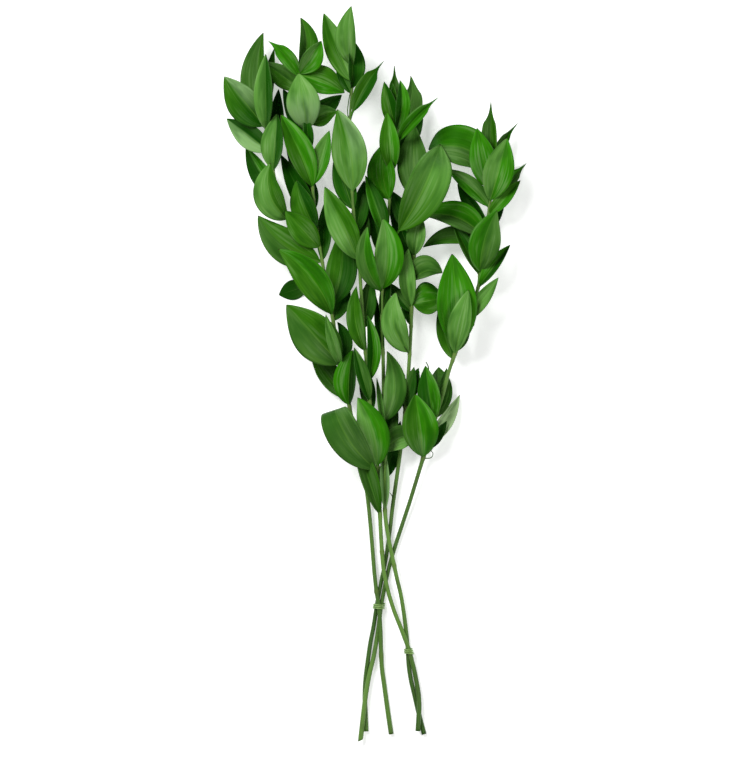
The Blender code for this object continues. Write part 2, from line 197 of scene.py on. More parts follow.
def leafFinish(name, look):
    material, shader, start = newMaterial(name)
    colour = start.node("Attribute", {"attribute_name": "leafColour"}, {})
    mark = start.node("Attribute", {"attribute_name": "leafMark"}, {})
    marks = start.node("SeparateColor", {}, {"Color": mark})
    under = marks.also("Green")
    chance = marks.also("Red")
    place = start.node("SeparateXYZ", {}, {"Vector": start.node("UVMap", {"uv_map": "leafUv"}, {})})
    across = place * 2.0 - 1.0
    along = place.also("Y")
    solid = start.node("TexCoord", {}, {}, "Object")

    def grown(kind):
        # a pattern that follows the leaf and differs from one leaf to the next
        aside, away = kind["shifts"]
        spot = start.spot(across * kind["across"] + chance * aside, along * kind["along"], chance * away)
        return spot.grain(detail=kind["detail"])

    streak = grown(look["streaks"])
    fibre = grown(look["fibres"])
    cloud = grown(look["clouds"])
    fine = solid.grain(look["fineGrain"])
    drift = solid.grain(look["driftGrain"])
    aside, away = look["warps"]["shifts"]
    spread = start.spot(across * look["warps"]["across"] + chance * aside, chance * away, 0.0)
    warp = spread.grain(detail=look["warps"]["detail"])
    bent = across + (drift - 0.5) * look["drift"] + (warp - 0.5) * look["warp"]
    mainVein = (bent * (math.pi * look["veins"])).wave() ** look["veinSharpness"]
    fineVein = (bent * (math.pi * look["fineVeins"])).wave() ** look["fineVeinSharpness"]
    nearStalk = along.between(*look["stalkRange"])
    midrib = 1.0 - across.size().between(*look["midribRange"])
    rim = across.size().between(*look["rimRange"])
    tip = along.between(*look["tipRange"])
    lightness = start.node("SeparateColor", {}, {"Color": colour}).also("Green").between(*look["lightRange"])

    # veins and threads, then painted sheen and painted shade, midrib, rim, lower side, painted shade low in
    # the bunch and tip
    showing = look["veinsOnDark"] + lightness * (1 - look["veinsOnDark"])
    veins = mainVein * (look["veinShare"] + nearStalk * look["veinAtStalk"])
    veins += fineVein * look["fineVeinShare"]
    veined = mixed(veins * showing, colour, look["veinColour"])
    threads = fibre.between(*look["threadRange"]) * (look["threadShare"] + nearStalk * look["threadAtStalk"])
    threaded = mixed(threads * showing, veined, look["veinColour"])
    # painted sheen: paler streaks and clouds in place of a reflection, weaker on darker leaves
    paintedSheenPattern = streak * look["streakInPaintedSheen"] + cloud * (1 - look["streakInPaintedSheen"])
    paintedSheen = paintedSheenPattern.between(*look["paintedSheenRange"]) * (look["paintedSheenOnDark"] + lightness * (1 - look["paintedSheenOnDark"]))
    withPaintedSheen = mixed(paintedSheen * look["paintedSheenShare"], threaded, look["paintedSheenColour"])
    # painted shade: dark green mixed in over cloudy patches
    withPaintedShade = mixed(cloud.between(*look["paintedShadeRange"]) * look["paintedShadeShare"], withPaintedSheen, look["paintedShadeColour"])
    middle = midrib * (look["midribShare"] + nearStalk * look["midribAtStalk"])
    ribbed = mixed(middle, withPaintedShade, look["midribColour"])
    rimmed = mixed(rim * look["rimShare"], ribbed, look["rimColour"])
    dull = mixed(under * look["underShare"], rimmed, look["underColour"])
    height = start.node("SeparateXYZ", {}, {"Vector": solid}).also("Z")
    # painted shade: leaves lower in the bunch are darkened where their neighbours would shade them
    paintedDepthShade = height.between(*look["paintedDepthShadeRange"]) * (1.0 - lightness) * look["paintedDepthShadeShare"]
    shaded = mixed(paintedDepthShade, dull, look["paintedDepthShadeColour"])
    linkTo(shader, "Base Color", mixed(tip * look["tipShare"], shaded, look["tipColour"]))

    rough = look["rough"]
    linkTo(shader, "Roughness", (
        rough["all"] + (cloud - 0.5) * rough["cloud"] + fine * rough["fine"] + tip * rough["tip"]
        + under * rough["under"]))
    shader.inputs["Specular IOR Level"].default_value = look["gloss"]
    shader.inputs["Specular Tint"].default_value = look["glossColour"]
    relief = look["relief"]
    raised = (
        mainVein * relief["vein"] + fineVein * relief["fineVein"] + fibre * relief["fibre"]
        + streak * relief["streak"] + fine * relief["fine"] - midrib * relief["midrib"])
    raiseBy(shader, raised, look["reliefStrength"], look["reliefDepth"])
    return material


stemLook = {
    "ribs": 8,
    "ribSharpness": 3.0,
    "fibreCounts": (40.0, 60.0),  # round the stem and in ten millimetres of its length
    "fibreDetail": 3.0,
    "fibreRange": (0.5, 0.75),
    "fibreShare": 0.22,
    "ribShare": 0.30,
    "ribColour": (0.17, 0.30, 0.07, 1),
    "lightColour": (0.118, 0.245, 0.042, 1),
    "deepColour": (0.020, 0.070, 0.008, 1),
    "patchGrain": 55.0,
    "patchDetail": 3.0,
    "agedRange": (0.52, 0.72),
    "agedShare": 0.45,
    "agedColour": (0.055, 0.090, 0.025, 1),
    "jointShare": 0.35,
    "jointColour": (0.13, 0.15, 0.04, 1),
    "speckGrain": 900.0,
    "speckDetail": 1.0,
    "speckRange": (0.68, 0.76),
    "speckShare": 0.35,
    "speckColour": (0.05, 0.04, 0.015, 1),
    "cutShare": 0.85,
    "cutColour": (0.30, 0.33, 0.13, 1),
    "gloss": 0.12,
    "rough": {"all": 0.46, "fibre": 0.25, "cut": 0.3},
    "relief": {"rib": 0.6, "fibre": 0.5},
    "reliefStrength": 0.4,
    "reliefDepth": 0.0003,
}


def stemFinish(name, look):
    material, shader, start = newMaterial(name)
    tone = start.node("Attribute", {"attribute_name": "stemTone"}, {})
    tones = start.node("SeparateColor", {}, {"Color": tone})
    deep = tones.also("Red")
    cut = tones.also("Green")
    knuckle = tones.also("Blue")
    place = start.node("SeparateXYZ", {}, {"Vector": start.node("UVMap", {"uv_map": "stemUv"}, {})})
    solid = start.node("TexCoord", {}, {}, "Object")
    around, along = look["fibreCounts"]
    fibres = start.spot(place * around, place.also("Y") * along, 0.0).grain(detail=look["fibreDetail"])
    patches = solid.grain(look["patchGrain"], look["patchDetail"])
    specks = solid.grain(look["speckGrain"], look["speckDetail"]).between(*look["speckRange"])
    ribs = (place * (math.pi * 2 * look["ribs"])).wave() ** look["ribSharpness"]
    body = mixed(deep, look["lightColour"], look["deepColour"])
    lines = ribs * look["ribShare"] + fibres.between(*look["fibreRange"]) * look["fibreShare"]
    ribbed = mixed(lines, body, look["ribColour"])
    aged = mixed(patches.between(*look["agedRange"]) * look["agedShare"], ribbed, look["agedColour"])
    jointed = mixed(knuckle * look["jointShare"], aged, look["jointColour"])
    speckled = mixed(specks * look["speckShare"], jointed, look["speckColour"])
    linkTo(shader, "Base Color", mixed(cut * look["cutShare"], speckled, look["cutColour"]))
    rough = look["rough"]
    linkTo(shader, "Roughness", rough["all"] + (fibres - 0.5) * rough["fibre"] + cut * rough["cut"])
    shader.inputs["Specular IOR Level"].default_value = look["gloss"]
    relief = look["relief"]
    raised = ribs * relief["rib"] + fibres * relief["fibre"]
    raiseBy(shader, raised, look["reliefStrength"], look["reliefDepth"])
    return material


wireLook = {
    "wraps": 1.6,               # turns of the covering in ten millimetres of wire
    "seamSharpness": 4.0,
    "seamShare": 0.45,
    "colour": (0.20, 0.36, 0.09, 1),
    "seamColour": (0.06, 0.13, 0.02, 1),
    "wornGrain": 700.0,
    "wornDetail": 3.0,
    "wornRange": (0.52, 0.75),
    "wornShare": 0.5,
    "wornColour": (0.36, 0.48, 0.20, 1),
    "gloss": 0.35,
    "rough": {"all": 0.55, "worn": 0.3},
    "relief": {"wound": 0.7, "worn": 0.3},
    "reliefStrength": 0.5,
    "reliefDepth": 0.0002,
}


def wireFinish(name, look):
    material, shader, start = newMaterial(name)
    place = start.node("SeparateXYZ", {}, {"Vector": start.node("UVMap", {"uv_map": "stemUv"}, {})})
    wound = ((place + place.also("Y") * look["wraps"]) * (math.pi * 2)).wave()
    worn = start.node("TexCoord", {}, {}, "Object").grain(look["wornGrain"], look["wornDetail"])
    covered = mixed(wound ** look["seamSharpness"] * look["seamShare"], look["colour"], look["seamColour"])
    aged = mixed(worn.between(*look["wornRange"]) * look["wornShare"], covered, look["wornColour"])
    linkTo(shader, "Base Color", aged)
    linkTo(shader, "Roughness", look["rough"]["all"] + (worn - 0.5) * look["rough"]["worn"])
    shader.inputs["Specular IOR Level"].default_value = look["gloss"]
    raised = wound * look["relief"]["wound"] + worn * look["relief"]["worn"]
    raiseBy(shader, raised, look["reliefStrength"], look["reliefDepth"])
    return material


# colours of the leaf halves, as linear red, green and blue: the leaf's own green with painted light and shade
# on each half
leafTonesAndLight = {
    "n": (0.026, 0.132, 0.003),    # plain green
    "b": (0.024, 0.185, 0.001),    # bright green
    "d": (0.005, 0.068, 0.001),    # deep green: painted shade on the leaf's own green
    "k": (0.002, 0.017, 0.001),    # nearly black: painted shadow
    "p": (0.092, 0.255, 0.042),    # pale: painted sheen on the leaf's own green
    "w": (0.205, 0.380, 0.140),    # palest: painted sheen
    "g": (0.046, 0.138, 0.020),    # greyed green
    "s": (0.420, 0.600, 0.300),    # painted light, for a leaf that the lamps leave too dark
}

# Lengths are millimetres, and the places along a leaf are shares of its length from the root.
blade = {
    "across": 14,           # faces from edge to edge
    "along": 36,            # faces from stalk to tip
    "crowding": 0.3,        # how far the faces crowd to both ends
    "thickness": 0.45,
    "widestAt": 0.85,       # lower puts the widest part nearer the stalk
    "fullness": 0.78,       # lower rounds the outline
    "leastHalf": 0.15,      # least real half width, as a share of the length
    "stalk": 0.03,          # the part that is stalk
    "stalkHalf": 1.0,
    "tipHalf": 0.12,
    "tipNarrowing": 0.18,
    "tipSharpness": 6,      # higher keeps the narrowing nearer the tip
    "tail": 0.0,            # how far the end draws in to a narrow point
    "tailStarts": 0.70,
    "tailOver": 0.22,
    "turn": 0,              # degrees that the far part turns under
    "turnStarts": 0.5,
    "turnOver": 0.3,
    "turnSteps": 60,
    "liftOver": 0.75,       # where the rise to the tip's height ends
    "arch": 3.0,
    "fold": 1.5,            # how far the two halves rise from the midrib
    "cupping": 1.25,        # higher leaves a turned leaf flatter by its midrib
    "ripple": 0.7,          # waves of the edge
    "rippleAtEdge": 3,      # higher keeps the waves nearer the edge
    "leftWaves": 9.0,
    "rightWaves": 8.0,
    "groove": 0.3,          # dip along the midrib
    "grooveSharpness": 7,
    "halvesPart": 3.5,      # how sharply the colours of the two halves part, with their painted light and shade
    "tipTonesStart": 0.3,
    "tipTonesOver": 0.4,
    "chanceStep": 0.618034,  # spreads the leaves' own numbers evenly from 0 to 1
}

rod = {
    "around": 24,
    "step": 2.6,
    "ribs": stemLook["ribs"],
    "ribDepth": 0.045,
    "knuckle": 0.22,        # swelling where a leaf leaves the stem
    "knuckleLength": 1.7,
    "endRim": 0.25,         # rim round the hollow of a cut end, as a share of the radius
    "endHollow": 0.12,
    "seam": 0.0005,         # points closer than this are merged
    "patternLength": 10,    # millimetres of rod to one unit of its pattern
    "twigStep": 0.8,
    "twigAround": 10,
}

# radius of a stem against its height in the bunch
girth = [(0.0, 2.15), (60.0, 1.95), (120.0, 1.75), (250.0, 1.7), (400.0, 1.45), (520.0, 1.15), (610.0, 0.85)]


def clamped(value):
    return min(max(value, 0.0), 1.0)


def readOff(rows, given, wanted, value):
    # reads one column of a table against another
    return float(np.interp(value, [row[given] for row in rows], [row[wanted] for row in rows]))


def atHeight(route, y):
    # where a stem lies at this height of the picture: its sideways place and its height over the table
    return readOff(route, 1, 0, y), readOff(route, 1, 2, y)


def radiusAt(y):
    return readOff(girth, 0, 1, y)


def toModel(x, y, z):
    return Vector(((x - middleX) * mm, (y - middleY) * mm, z * mm))


def turnedUnder(degrees):
    # forward and downward travel along a leaf whose far part turns under
    steps = blade["turnSteps"]
    shares = (np.arange(steps) + 0.5) / steps
    angles = math.radians(degrees) * np.clip((shares - blade["turnStarts"]) / blade["turnOver"], 0.0, 1.0)
    forward = np.concatenate([[0.0], np.cumsum(np.cos(angles) / steps)])
    down = np.concatenate([[0.0], np.cumsum(np.sin(angles) / steps)])
    return forward, down, float(forward.max())


def leafPlacer(route, row):
    # gives the function that places a point of this leaf: u is -1 at its right edge and 1 at its left
    baseY, tipX, tipY, left, right, bow, lift = row[:7]
    usual = (blade["turn"], blade["stalk"], blade["tail"])
    turn, stalk, tail = row[8:] + usual[len(row) - 8:]
    baseX, baseZ = atHeight(route, baseY)
    chord = Vector((tipX - baseX, tipY - baseY))
    half = max(left, right, blade["leastHalf"] * chord.length)
    forward, down, reach = turnedUnder(turn)
    shares = np.linspace(0, 1, len(forward))
    along = chord.normalized()
    sideways = Vector((-along.y, along.x))
    phase = noise.random_unit_vector() * math.pi

    def placer(u, v):
        share = float(np.interp(v, shares, forward)) / reach
        drop = float(np.interp(v, shares, down)) / reach
        slope = bow * 4 * (1 - 2 * share) / chord.length
        cross = (sideways - along * slope).normalized()
        middle = Vector((baseX, baseY)) + chord * share + sideways * (bow * 4 * share * (1 - share))
        seen = left if u > 0 else right
        raised = math.sqrt(max(half ** 2 - seen ** 2, 0.0))
        width = 0.0
        if v > stalk:
            reached = (v - stalk) / (1 - stalk)
            width = math.sin(math.pi * reached ** blade["widestAt"]) ** blade["fullness"]
            width *= 1 - blade["tipNarrowing"] * reached ** blade["tipSharpness"]
            narrowed = clamped((reached - blade["tailStarts"]) / blade["tailOver"])
            width *= 1 - tail * narrowed * (2 - narrowed)
        least = blade["stalkHalf"] * (1 - v) ** 2 + blade["tipHalf"]
        out = max(seen * width, least) * abs(u)
        spot = middle + cross * (out if u > 0 else -out)
        ease = min(v / blade["liftOver"], 1.0)
        height = baseZ + lift * ease * (2 - ease) + blade["arch"] * 4 * v * (1 - v)
        height += raised * width * abs(u) ** blade["cupping"] + blade["fold"] * width * abs(u)
        height -= drop * chord.length
        height -= blade["groove"] * width * math.exp(-(u * blade["grooveSharpness"]) ** 2)
        rate, shift = (blade["leftWaves"], phase.x) if u > 0 else (blade["rightWaves"], phase.y)
        height += blade["ripple"] * width * abs(u) ** blade["rippleAtEdge"] * math.sin(v * rate + shift)
        return Vector((spot.x, spot.y, max(height, blade["thickness"] / 2)))

    return placer


def toneAndLightAt(look, u, v):
    # a leaf's colour with painted light and shade, mixed from the letters of its left and right halves at
    # stalk and tip
    letters = look if len(look) == 4 else look[:2] * 2
    colours = [Vector(leafTonesAndLight[letter]) for letter in letters]
    side = clamped(0.5 - u * blade["halvesPart"])
    far = clamped((v - blade["tipTonesStart"]) / blade["tipTonesOver"])
    near = colours[0].lerp(colours[1], side)
    return near.lerp(colours[2].lerp(colours[3], side), far)


def leafMesh(route, row, number):
    shape = bmesh.new()
    uvs = shape.loops.layers.uv.new("leafUv")
    colour = shape.verts.layers.float_color.new("leafColour")
    mark = shape.verts.layers.float_color.new("leafMark")
    bmesh.ops.create_grid(shape, x_segments=blade["across"], y_segments=blade["along"], size=1.0)
    placer = leafPlacer(route, row)
    for face in shape.faces:
        face.smooth = True
        for loop in face.loops:
            loop[uvs].uv = ((1 - loop.vert.co.x) / 2, (loop.vert.co.y + 1) / 2)
    for vertex in shape.verts:
        u = -vertex.co.x
        v = (1 + vertex.co.y) / 2
        v = v * (1 - blade["crowding"]) + blade["crowding"] * (1 - math.cos(v * math.pi)) / 2
        vertex[colour] = (*toneAndLightAt(row[7], u, v), 1.0)
        vertex.co = placer(u, v)
    shape.normal_update()
    if sum(face.normal.z for face in shape.faces) < 0:
        bmesh.ops.reverse_faces(shape, faces=shape.faces)
        shape.normal_update()
    lower = set(shape.verts)        # solidify adds the upper side's points to these
    for vertex in shape.verts:
        vertex.co -= vertex.normal * (blade["thickness"] / 2)
    bmesh.ops.solidify(shape, geom=shape.faces, thickness=-blade["thickness"])
    chance = (number * blade["chanceStep"]) % 1.0
    for vertex in shape.verts:
        vertex[mark] = (chance, 1.0 if vertex in lower else 0.0, 0.0, 1.0)
        vertex.co.z = max(vertex.co.z, 0.0)
        vertex.co = toModel(*vertex.co)
    bmesh.ops.recalc_face_normals(shape, faces=shape.faces)
    return shape


def smoothRoute(points, step):
    # points along a soft curve through the given ones
    spots = [Vector(point) for point in points]
    spots = [spots[0] * 2 - spots[1]] + spots + [spots[-1] * 2 - spots[-2]]
    made = []
    for index in range(1, len(spots) - 2):
        before, start, end, after = spots[index - 1:index + 3]
        count = max(int((end - start).length / step), 1)
        for number in range(count):
            t = number / count
            made.append(0.5 * (
                2 * start + (end - before) * t + (2 * before - 5 * start + 4 * end - after) * t ** 2
                + (3 * start - before - 3 * end + after) * t ** 3))
    made.append(spots[-2])
    return made


def rodMesh(points, radii, tones, knuckles, around, ribDepth, slant=0.0):
    # a ribbed round rod along points in millimetres, closed at both ends; slant tilts its first end
    shape = bmesh.new()
    uvs = shape.loops.layers.uv.new("stemUv")
    tone = shape.verts.layers.float_color.new("stemTone")
    rows = len(points) - 1
    bmesh.ops.create_grid(shape, x_segments=around, y_segments=rows, size=1.0)
    lengths = [0.0]
    for first, second in zip(points, points[1:]):
        lengths.append(lengths[-1] + (second - first).length)
    for face in shape.faces:
        face.smooth = True
        for loop in face.loops:
            step = round((loop.vert.co.y + 1) / 2 * rows)
            loop[uvs].uv = ((loop.vert.co.x + 1) / 2, lengths[step] / rod["patternLength"])
    sides = []
    side = Vector((1, 0, 0))
    for index in range(len(points)):
        ahead = (points[min(index + 1, rows)] - points[max(index - 1, 0)]).normalized()
        side = (side - ahead * side.dot(ahead)).normalized()
        sides.append((side, ahead.cross(side)))
    for vertex in shape.verts:
        step = round((vertex.co.y + 1) / 2 * rows)
        angle = math.pi * (1 + vertex.co.x)
        swelling = sum(math.exp(-((points[step].y - y) / rod["knuckleLength"]) ** 2) for y in knuckles)
        swelling = min(swelling, 1.0)
        radius = radii[step] * (1 + ribDepth * math.cos(angle * rod["ribs"]) + rod["knuckle"] * swelling)
        first, second = sides[step]
        spot = points[step] + first * (math.cos(angle) * radius) + second * (math.sin(angle) * radius)
        if step == 0:
            spot.y += slant * math.cos(angle) * radius
        vertex[tone] = (tones[step], 0.0, swelling, 1.0)
        vertex.co = spot
    bmesh.ops.remove_doubles(shape, verts=shape.verts, dist=rod["seam"])
    rims = [edge for edge in shape.edges if edge.is_boundary]
    ends = bmesh.ops.holes_fill(shape, edges=rims, sides=0)["faces"]
    rimWidth = rod["endRim"] * min(radii)
    inset = bmesh.ops.inset_individual(shape, faces=ends, thickness=rimWidth, depth=-rod["endHollow"])
    for face in inset["faces"] + ends:
        face.smooth = False
    for face in ends:
        for vertex in face.verts:
            vertex[tone] = (0.0, 1.0, 0.0, 1.0)
    bmesh.ops.recalc_face_normals(shape, faces=shape.faces)
    for vertex in shape.verts:
        vertex.co = toModel(vertex.co.x, vertex.co.y, max(vertex.co.z, 0.0))
    return shape


def placed(name, data):
    thing = bpy.data.objects.new(name, data)
    bpy.context.scene.collection.objects.link(thing)
    return thing


def joined(name, shapes, material):
    # one piece made of several shapes
    mesh = bpy.data.meshes.new(name)
    whole = bmesh.new()
    for shape in shapes:
        part = bpy.data.meshes.new("part")
        shape.to_mesh(part)
        shape.free()
        whole.from_mesh(part)
        bpy.data.meshes.remove(part)
    whole.to_mesh(mesh)
    whole.free()
    mesh.materials.append(material)
    piece = placed(name, mesh)
    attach(piece, "root")
    return piece


def stemRod(route, tones, knuckles, thin=1.0, slant=0.0):
    points = smoothRoute(route, rod["step"])
    radii = [radiusAt(point.y) * thin for point in points]
    shades = [readOff(tones, 0, 1, point.y) for point in points]
    return rodMesh(points, radii, shades, knuckles, rod["around"], rod["ribDepth"], slant)


def twig(points, thick, thin, tone):
    spots = smoothRoute(points, rod["twigStep"])
    radii = [thick + (thin - thick) * index / (len(spots) - 1) for index in range(len(spots))]
    return rodMesh(spots, radii, [tone] * len(spots), [], rod["twigAround"], 0.0)


def leafyStem(look, leafMaterial, stemMaterial):
    growing = [(look["route"], row) for row in look["leaves"]]
    knuckles = [row[0] for row in look["leaves"]] + look["knuckles"]
    rods = [stemRod(look["route"], look["tones"], knuckles, slant=look["slant"])]
    if "sideRoute" in look:
        growing += [(look["sideRoute"], row) for row in look["sideLeaves"]]
        knuckles = [row[0] for row in look["sideLeaves"]]
        rods.append(stemRod(look["sideRoute"], look["tones"], knuckles, look["sideThin"]))
    rods += [twig(*row) for row in look["twigs"]]
    leaves = [leafMesh(route, row, number) for number, (route, row) in enumerate(growing, look["firstLeaf"])]
    foliage = joined(look["piece"] + "Leaves", leaves, leafMaterial)
    stalk = joined(look["piece"] + "Stem", rods, stemMaterial)
    for piece in (foliage, stalk):
        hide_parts(look["node"])
    print(look["piece"], "leaves", len(leaves), "triangles", 2 * len(foliage.data.polygons))


# The five stems. Routes give x, y and height in millimetres from the cut end to the tip. Tones run
# from 0, light, to 1, deep, against y. A leaf row gives the root's y, the tip's x and y, the half
# widths left and right, the bow, the lift of the tip, its colours with painted light and shade on each
# half, and where needed the degrees it turns under, the stalk's share and how far its end draws in.
# A twig gives its points, its radius at both ends and its tone.
stemA = {
    "node": "leafy_stem_a",
    "piece": "stemA",
    "firstLeaf": 1,
    "route": [
        (15.8, 6.0, 2.6), (12.3, 30.0, 2.6), (9.6, 50.0, 3.0), (7.7, 64.0, 4.2), (6.8, 80.0, 5.6),
        (6.4, 95.0, 6.9), (5.6, 110.0, 7.6), (4.9, 120.0, 7.6), (2.7, 133.0, 7.4), (0.8, 150.0, 6.2),
        (-0.4, 165.0, 5.2), (-3.4, 200.0, 6.5), (-6.8, 228.0, 8.5), (-11.5, 250.0, 10.5),
        (-19.8, 290.0, 14.0), (-31.0, 347.0, 18.0), (-38.9, 391.0, 20.0), (-46.9, 434.0, 22.0),
        (-51.3, 464.0, 23.0), (-54.6, 500.0, 24.0), (-56.8, 530.0, 25.0), (-60.5, 558.0, 26.0),
        (-66.0, 593.0, 27.0)],
    "sideRoute": [
        (-47.4, 437.0, 22.0), (-60.0, 449.0, 21.0), (-73.0, 459.0, 20.0), (-82.0, 476.0, 20.0),
        (-88.0, 503.0, 21.0), (-92.6, 528.0, 22.0), (-97.0, 552.0, 23.0)],
    "sideThin": 0.9,        # the side shoot's radius beside that of a stem
    "tones": [(0, 0.45), (60, 0.35), (110, 0.8), (170, 0.55), (300, 0.15), (480, 0.1), (600, 0.4)],
    "knuckles": [76.0, 133.0],  # swellings besides those at the leaves
    "slant": 0.0,           # how far the cut end slants
    "twigs": [],
    "leaves": [
        (592, -64.5, 641, 6, 11, -6, 1, "gn"), (591, -46, 620, 6, 12, 0, 11, "pb"),
        (590, -25.5, 574.5, 14, 11, 2, 1, "nb"), (588, -93, 620, 7, 7, -3, 9, "bb", 0, 0.03, 0.5),
        (577, -97, 602, 10, 9, 0, -9, "ng"), (541, -66, 591, 15, 15, 0, 26, "wwpp"),
        (556, -28, 573, 4, 12, 0, -9, "dd"), (548, -32, 558, 9, 10, 2, -1, "pn"),
        (543, -74, 568, 5, 6, 0, 1, "dd"), (530, -80, 578, 8, 9, 0, -9, "dd"),
        (522, -60, 556, 4, 5, 0, 7, "dd"), (490, -82, 555, 10, 13, -2, 13, "nbnb"),
        (492, -39, 541, 9, 8, 0, 7, "pb"), (452, -68, 497, 13, 9, 2, 7, "nd"),
        (437, -78, 470, 12, 11, 0, 9, "nn"), (425, -102, 466, 15, 16, 8, 1, "gn"),
        (377, -84, 436, 15, 13, -7, 20, "nb"), (410, -84, 396, 9, 9, 0, -26, "ggdd", 40, 0.35),
        (333, -77, 387, 20, 19, 0, 11, "gngn"), (330, -42, 378, 6, 4, 0, 22, "pp"),
        (386, -30, 453, 14, 14, -6, 1, "nd"), (336, -32, 372, 5, 7, -5, -9, "dd"),
        (303, -56, 348, 8, 12, 2, -26, "ng"), (297, -18, 347, 14, 6, 2, 11, "bk"),
        (455, -82, 520, 9, 9, 0, -9, "dd"), (480, -78, 540, 8, 8, 0, -23, "dk"),
        (470, -64, 510, 8, 8, 0, -19, "dd"), (425, -43, 478, 6, 7, 0, -9, "dd"),
        (372, -22, 408, 8, 8, 0, -9, "dd"),
    ],
    "sideLeaves": [  # on the side shoot
        (544, -132, 589, 17, 12, 0, 1, "dgnw"), (548, -97.5, 628, 16, 6, 5, -3, "gn"),
        (540, -95, 608, 11, 6, 0, 24, "pd"), (522, -130, 552, 11, 10, 0, -9, "wd"),
        (505, -85, 556, 13, 7, 0, 13, "pd"), (462, -91, 512, 15, 11, 9, 20, "pn"),
        (549, -88, 614, 7, 4, 0, -15, "nn"), (480, -113, 528, 10, 8, 2, -26, "db"),
        (515, -84, 578, 7, 8, 0, -5, "kd"),
    ],
}
stemB = {
    "node": "leafy_stem_b",
    "piece": "stemB",
    "firstLeaf": 41,
    "route": [
        (39.4, 9.0, 6.9), (40.2, 22.0, 7.4), (40.6, 32.0, 7.0), (40.0, 42.0, 6.2), (38.2, 53.0, 5.4),
        (36.2, 63.0, 5.4), (34.0, 72.0, 6.4), (32.0, 80.0, 7.6), (28.4, 90.0, 8.4), (24.2, 101.0, 8.6),
        (18.6, 115.0, 8.7), (13.9, 130.0, 8.8), (11.2, 141.0, 8.9), (9.0, 153.0, 8.9), (7.6, 168.0, 8.8),
        (6.3, 190.0, 9.6), (5.6, 208.0, 10.6), (4.4, 235.0, 13.5), (1.6, 262.0, 19.0),
        (-3.5, 303.0, 27.0), (-7.1, 347.0, 32.0), (-10.4, 391.0, 34.0), (-13.2, 432.0, 35.0),
        (-17.7, 471.0, 36.0), (-20.4, 520.0, 37.0), (-20.6, 553.0, 37.5), (-18.4, 585.0, 38.0),
        (-18.0, 600.0, 38.5)],
    "tones": [(0, 0.9), (60, 0.75), (95, 0.2), (200, 0.05), (330, 0.25), (480, 0.2), (560, 0.6), (600, 0.3)],
    "knuckles": [168.0],
    "slant": 0.0,
    "twigs": [
        ([(4.4, 239.0, 15.5), (5.6, 242.5, 17.5), (7.2, 244.5, 18.5)], 0.9, 0.5, 1.0),
        ([(-20.4, 548.0, 37.5), (-22.8, 556.0, 38.6), (-22.0, 566.0, 39.0), (-20.4, 575.0, 38.4)],
         0.5, 0.4, 0.8),
    ],
    "leaves": [
        (597, -19.5, 650, 14, 4, 1, 20, "pp"), (583, -44, 645, 12, 9, 0, -13, "np"),
        (577, -19, 622, 3, 12, 0, 1, "dd"), (551, 9, 602, 7, 7, 3, 1, "nd", 0, 0.12, 0.75),
        (486, -32, 559, 17, 14, -5, 20, "ppnw"), (425, -43, 491, 13, 12, 0, 11, "pn"),
        (470, -34, 520, 10, 9, 0, -9, "dd"), (450, -8, 497, 7, 8, 0, -13, "dd"),
        (345, -15, 403, 8, 7, 5, 11, "nn"), (318, -6, 378, 5, 7, -5, 11, "db"),
        (301, -17, 349, 5, 7, 0, 11, "dg"), (243, -14, 305, 14, 14, -5, 22, "pb"),
        (240, -34, 294, 17, 14, 5, 37, "gg", 100), (200, -18, 275, 6.5, 9, 0, 5, "gn"),
        (573, -33, 600, 5, 6, 0, -9, "dd"), (428, -6, 470, 7, 7, 0, -9, "dk"),
        (290, -9, 335, 7, 7, 0, -9, "kd"), (365, -2, 412, 8, 8, 0, -9, "kd"),
    ],
}
